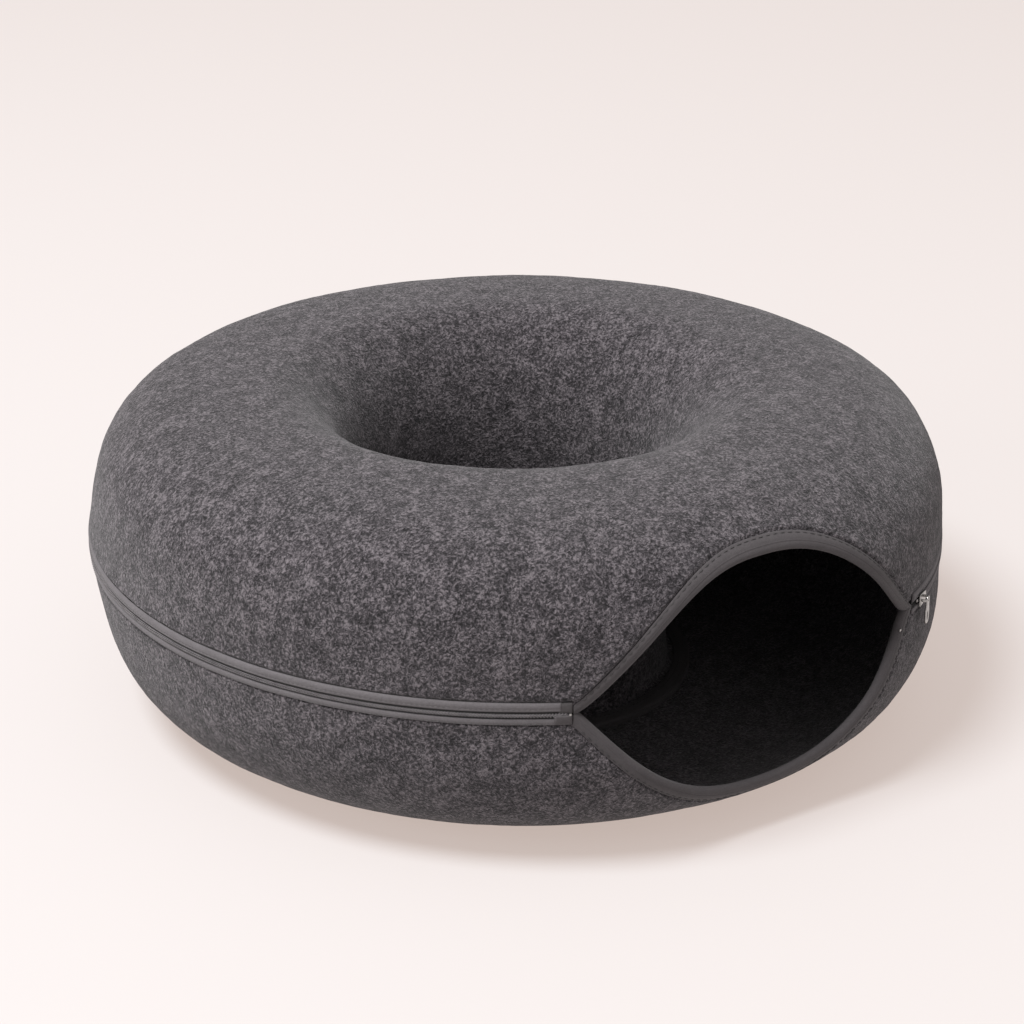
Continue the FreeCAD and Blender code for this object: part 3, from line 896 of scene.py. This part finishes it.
def pull(materials):
    """A flat pull with an eye at the top and a slot, hanging from the slider's arch."""
    neck, wide, foot = 2.3 * MM, 3.2 * MM, PULL_LENGTH - 3.2 * MM
    shape = arc((0, 0), neck, 0, 180, 18) + [(-neck, -4.5 * MM), (-wide, -7.5 * MM)]
    shape += arc((0, -foot), wide, 180, 360, 18) + [(wide, -7.5 * MM), (neck, -4.5 * MM)]
    eye = arc((0, 0), 1.45 * MM, 0, 345, 20)
    slot = arc((0, -10 * MM), 1.2 * MM, 0, 180, 9)
    slot += arc((0, -foot + 0.6 * MM), 1.2 * MM, 180, 360, 9)
    mesh = plate("pull", [shape, eye, slot], 1.4 * MM, 0.35 * MM)
    points = np.array([vertex.co for vertex in mesh.vertices])
    turn = math.radians(SLIDER)
    along = np.array([math.cos(turn), math.sin(turn), 0])
    out = np.array([math.sin(turn), -math.cos(turn), 0])
    centre = out * (OUTER + PIVOT) + np.array([0, 0, ZIP])
    up = np.array([0, 0, 1.0])
    points = centre + points[:, :1] * along + points[:, 1:2] * up + points[:, 2:] * out
    mesh.vertices.foreach_set("co", points.ravel().astype(np.float32))
    piece = new_object("pull", mesh)
    dress(piece, materials["metal"], "pull", ["pull_tab"])
    shade_by_angle(piece)


def stop(name, azimuth, size, centre, node, materials):
    mesh = bend_to_ring(block(name, size, centre, 0.35 * MM), azimuth, STANDING)
    piece = new_object(name, mesh)
    dress(piece, materials["metal"], "bed", [node])
    shade_by_angle(piece)


def stops(materials):
    """The small metal clips at the ends of the coils."""
    lift = 1.7 * MM
    size = (1.5 * MM, 2.0 * MM, 1.7 * MM)
    stop("bottom_clip", -BOTTOM_STOP, size, (0, lift, 0.5 * MM), "bottom_stop", materials)
    stop("upper_clip", TOP_STOP, size, (0, lift, 1.2 * MM), "upper_top_stop", materials)
    edge = lip_rise(-1, OUTER * math.sin(math.radians(LOWER_STOP)))
    centre = (0, BINDING + 0.5 * MM, -edge - 0.2 * MM)
    stop("lower_clip", LOWER_STOP, (1.6 * MM, 1.2 * MM, 1.8 * MM), centre, "lower_top_stop", materials)


def build_bed():
    materials = build_materials()
    upper_felt(materials)
    lower_felt(materials)
    well_seam(materials)
    for side in SIDES:
        mouth_binding(side, materials)
        mouth_stitches(side, materials)
        zip_strip(side, materials)
        zip_tape(side, materials)
        zip_coil(side, materials)
        zip_stitches(side, materials)
    end_tabs(materials)
    stops(materials)
    slider(materials)
    pull(materials)


# ---------------------------------------------------------------- stage

def stage_floor():
    """A pale table that glows with painted light of its own, so that the bed's shadow on it stays
    light.
    """
    half = 12.0
    corners = [(-half, -half, 0), (half, -half, 0), (half, half, 0), (-half, half, 0)]
    mesh = bpy.data.meshes.new("floor")
    mesh.from_pydata(corners, [], [(0, 1, 2, 3)])
    # Painted light: the warm emission makes the floor glow though it is no lamp, and the bluish base
    # colour is set against that glow.
    mesh.materials.append(Graph("floor").finish(
        Base_Color=(0.200, 0.215, 0.228, 1), Roughness=0.9,
        Emission_Color=(0.520, 0.428, 0.385, 1), Emission_Strength=1.0))
    new_object("floor", mesh)


def area_light(name, position, target, size, power):
    light = bpy.data.lights.new(name, "AREA")
    light.shape = "DISK"
    light.size = size
    light.energy = power
    lamp = bpy.data.objects.new(name, light)
    lamp.location = position
    aim = Vector(target) - Vector(position)
    lamp.rotation_euler = aim.to_track_quat("-Z", "Y").to_euler()
    bpy.context.scene.collection.objects.link(lamp)


def stage_light():
    """Even pale light all round, one soft lamp high up and a weak one low on the left."""
    world = bpy.data.worlds.new("studio")
    world.use_nodes = True
    background = world.node_tree.nodes["Background"]
    background.inputs["Color"].default_value = (1.0, 0.965, 0.955, 1)
    background.inputs["Strength"].default_value = 0.72
    bpy.context.scene.world = world
    turn = math.radians(CAMERA_AZIMUTH)
    left = Vector((-math.cos(turn), -math.sin(turn), 0))
    back = Vector((-math.sin(turn), math.cos(turn), 0))
    key = left * 1.9 - back * 1.5 + Vector((0, 0, 4.6))
    area_light("key", key, (0, 0, 0.1), 2.0, 400)
    fill = left * 3.4 - back * 1.6 + Vector((0, 0, 1.3))
    area_light("fill", fill, (0, 0, 0.1), 2.0, 45)


def stage_camera():
    camera = bpy.data.cameras.new("camera")
    camera.lens = CAMERA_LENS
    camera.sensor_width = 36
    camera.shift_x, camera.shift_y = CAMERA_SHIFT
    holder = bpy.data.objects.new("camera", camera)
    rise = math.radians(CAMERA_ELEVATION)
    flat = CAMERA_DISTANCE * math.cos(rise)
    spot = place(np.array(CAMERA_AZIMUTH), flat, CAMERA_DISTANCE * math.sin(rise))
    turn = Matrix.Rotation(math.radians(CAMERA_AZIMUTH), 4, "Z")
    tilt = Matrix.Rotation(math.radians(90 - CAMERA_TILT), 4, "X")
    roll = Matrix.Rotation(math.radians(CAMERA_ROLL), 4, "Z")
    holder.matrix_world = Matrix.Translation(Vector(spot)) @ turn @ tilt @ roll
    bpy.context.scene.collection.objects.link(holder)
    bpy.context.scene.camera = holder


build_bed()
stage_floor()
stage_light()
stage_camera()
bpy.context.scene.view_settings.view_transform = "Standard"
